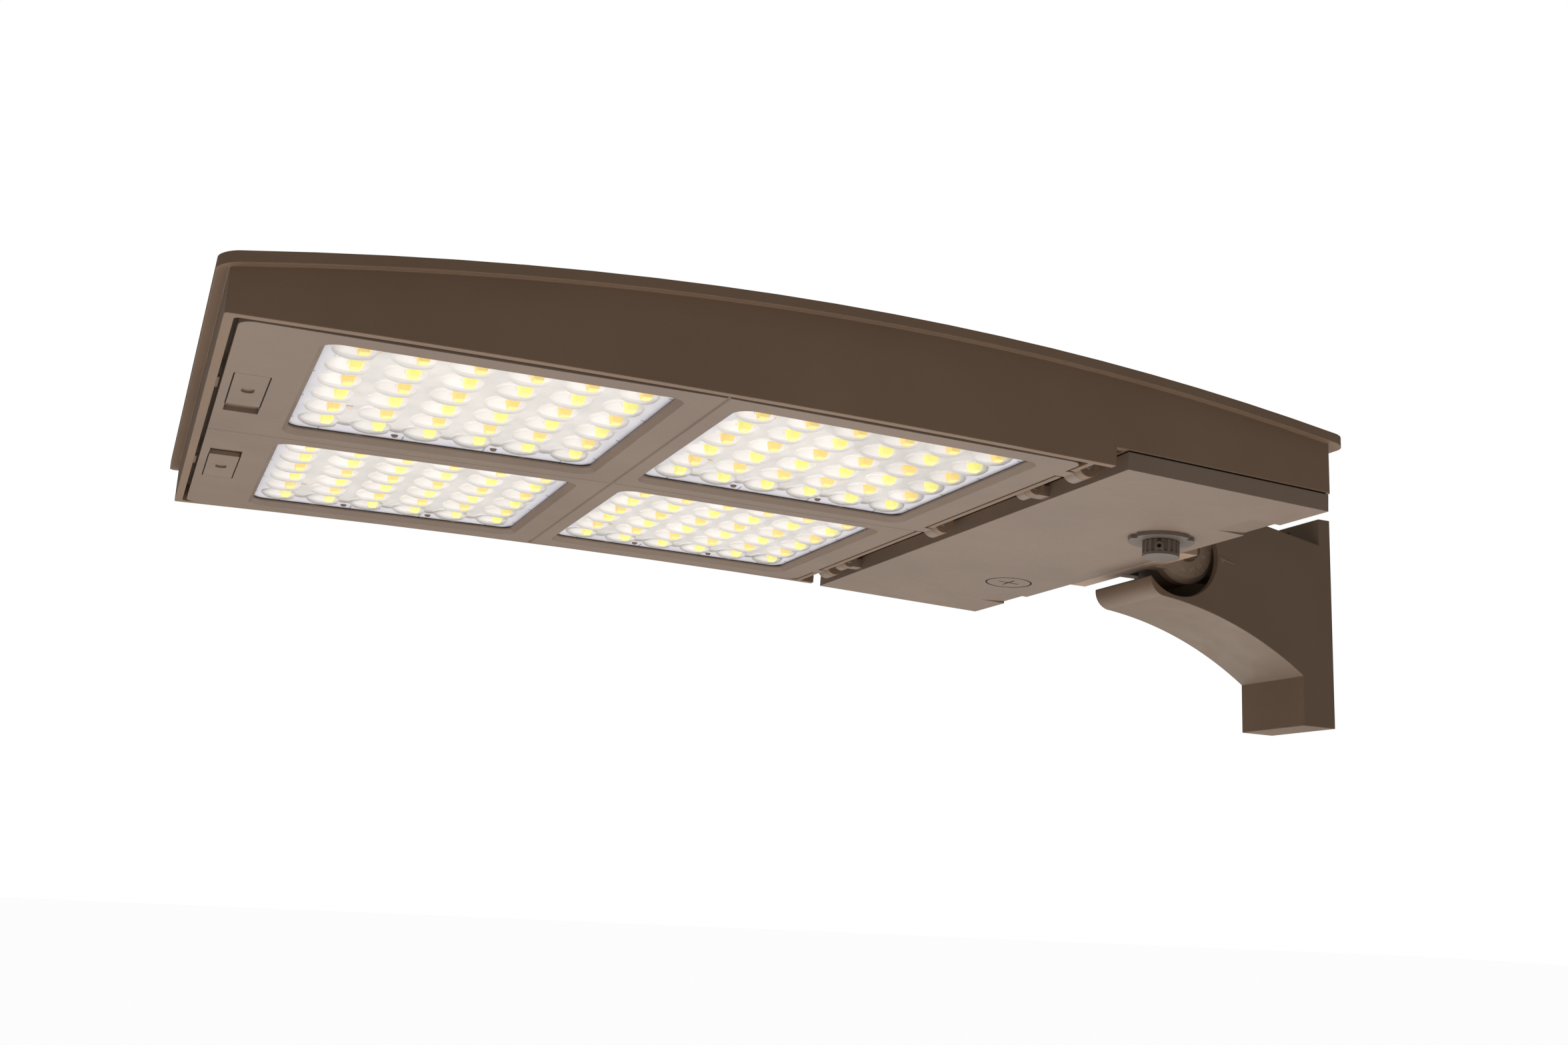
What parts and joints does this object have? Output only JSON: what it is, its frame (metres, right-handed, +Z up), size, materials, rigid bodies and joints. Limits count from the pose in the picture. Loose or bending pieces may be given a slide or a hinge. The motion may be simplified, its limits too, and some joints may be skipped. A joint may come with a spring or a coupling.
{
  "type": "shoebox area light",
  "caption": "Flat die-cast LED area light on a tilting mounting arm, with a hinged optic door over lens plates, a hinged driver door, slide latches and a sensor socket.",
  "frame": {"origin": "centre of the arm's mounting face, midway between its two bolt holes", "axes": "+Y into the pole, the nose of the light towards -Y, +Z up, +X towards the side with the sensor"},
  "size_m": [0.3286, 0.6042, 0.1297],
  "materials": {
    "bronze_casting": "bronze powder coat",
    "bronze_doors": "bronze powder coat",
    "steel": "zinc plated",
    "rubber": "matte",
    "board": "white solder mask",
    "led": "phosphor",
    "clear_lens": "clear moulded",
    "driver_case": "plain",
    "dark_plastic": "moulded",
    "block_plastic": "moulded",
    "bronze_plastic": "moulded"
  },
  "bodies": {
    "arm": {"arm_bracket": "bronze_casting", "tilt_bolt": "steel", "tilt_nut": "steel"},
    "light": {"housing": "bronze_casting", "knuckle": "bronze_casting", "knuckle_screws": "steel", "wire_grommet": "rubber", "led_board_1": "board", "led_board_2": "board", "led_board_3": "board", "led_board_4": "board", "led_chips_1": "led", "led_chips_2": "led", "led_chips_3": "led", "led_chips_4": "led", "lens_plate_1": "clear_lens", "lens_plate_2": "clear_lens", "lens_plate_3": "clear_lens", "lens_plate_4": "clear_lens", "lens_screws": "steel", "optic_pins": "steel", "tray_pins": "steel", "led_driver_1": "driver_case", "led_driver_2": "driver_case", "surge_protector": "dark_plastic", "terminal_block": "block_plastic", "gear_screws": "steel"},
    "optic_door": {"optic_door": "bronze_doors", "optic_gasket": "rubber"},
    "latch_near": {"latch_near": "bronze_doors", "latch_hook_near": "steel"},
    "latch_far": {"latch_far": "bronze_doors", "latch_hook_far": "steel"},
    "driver_door": {"driver_door": "bronze_doors", "driver_gasket": "rubber", "door_clips": "steel", "clip_screws": "steel", "sensor_receptacle": "bronze_plastic", "receptacle_nut": "dark_plastic"},
    "sensor_cap": {"sensor_cap": "bronze_plastic"}
  },
  "joints": [
    {"name": "tilt", "type": "hinge", "parent": "arm", "child": "light", "pos_m": [0, -0.0898, 0.0321], "axis": [-1, 0, 0], "range_deg": [-10, 60]},
    {"name": "optic_door_swing", "type": "hinge", "parent": "light", "child": "optic_door", "pos_m": [0, -0.2385, 0.0275], "axis": [1, 0, 0], "range_deg": [0, 80]},
    {"name": "driver_door_swing", "type": "hinge", "parent": "light", "child": "driver_door", "pos_m": [0, -0.2385, 0.0275], "axis": [-1, 0, 0], "range_deg": [0, 60]},
    {"name": "near_latch_slide", "type": "slide", "parent": "optic_door", "child": "latch_near", "axis": [-1, 0, 0], "range_m": [0, 0.008]},
    {"name": "far_latch_slide", "type": "slide", "parent": "optic_door", "child": "latch_far", "axis": [1, 0, 0], "range_m": [0, 0.008]},
    {"name": "sensor_cap_twist", "type": "hinge", "parent": "driver_door", "child": "sensor_cap", "pos_m": [0.0709, -0.14635, 0.02078], "axis": [0, 0.0332, 0.9995], "range_deg": [0, 40]}
  ]
}
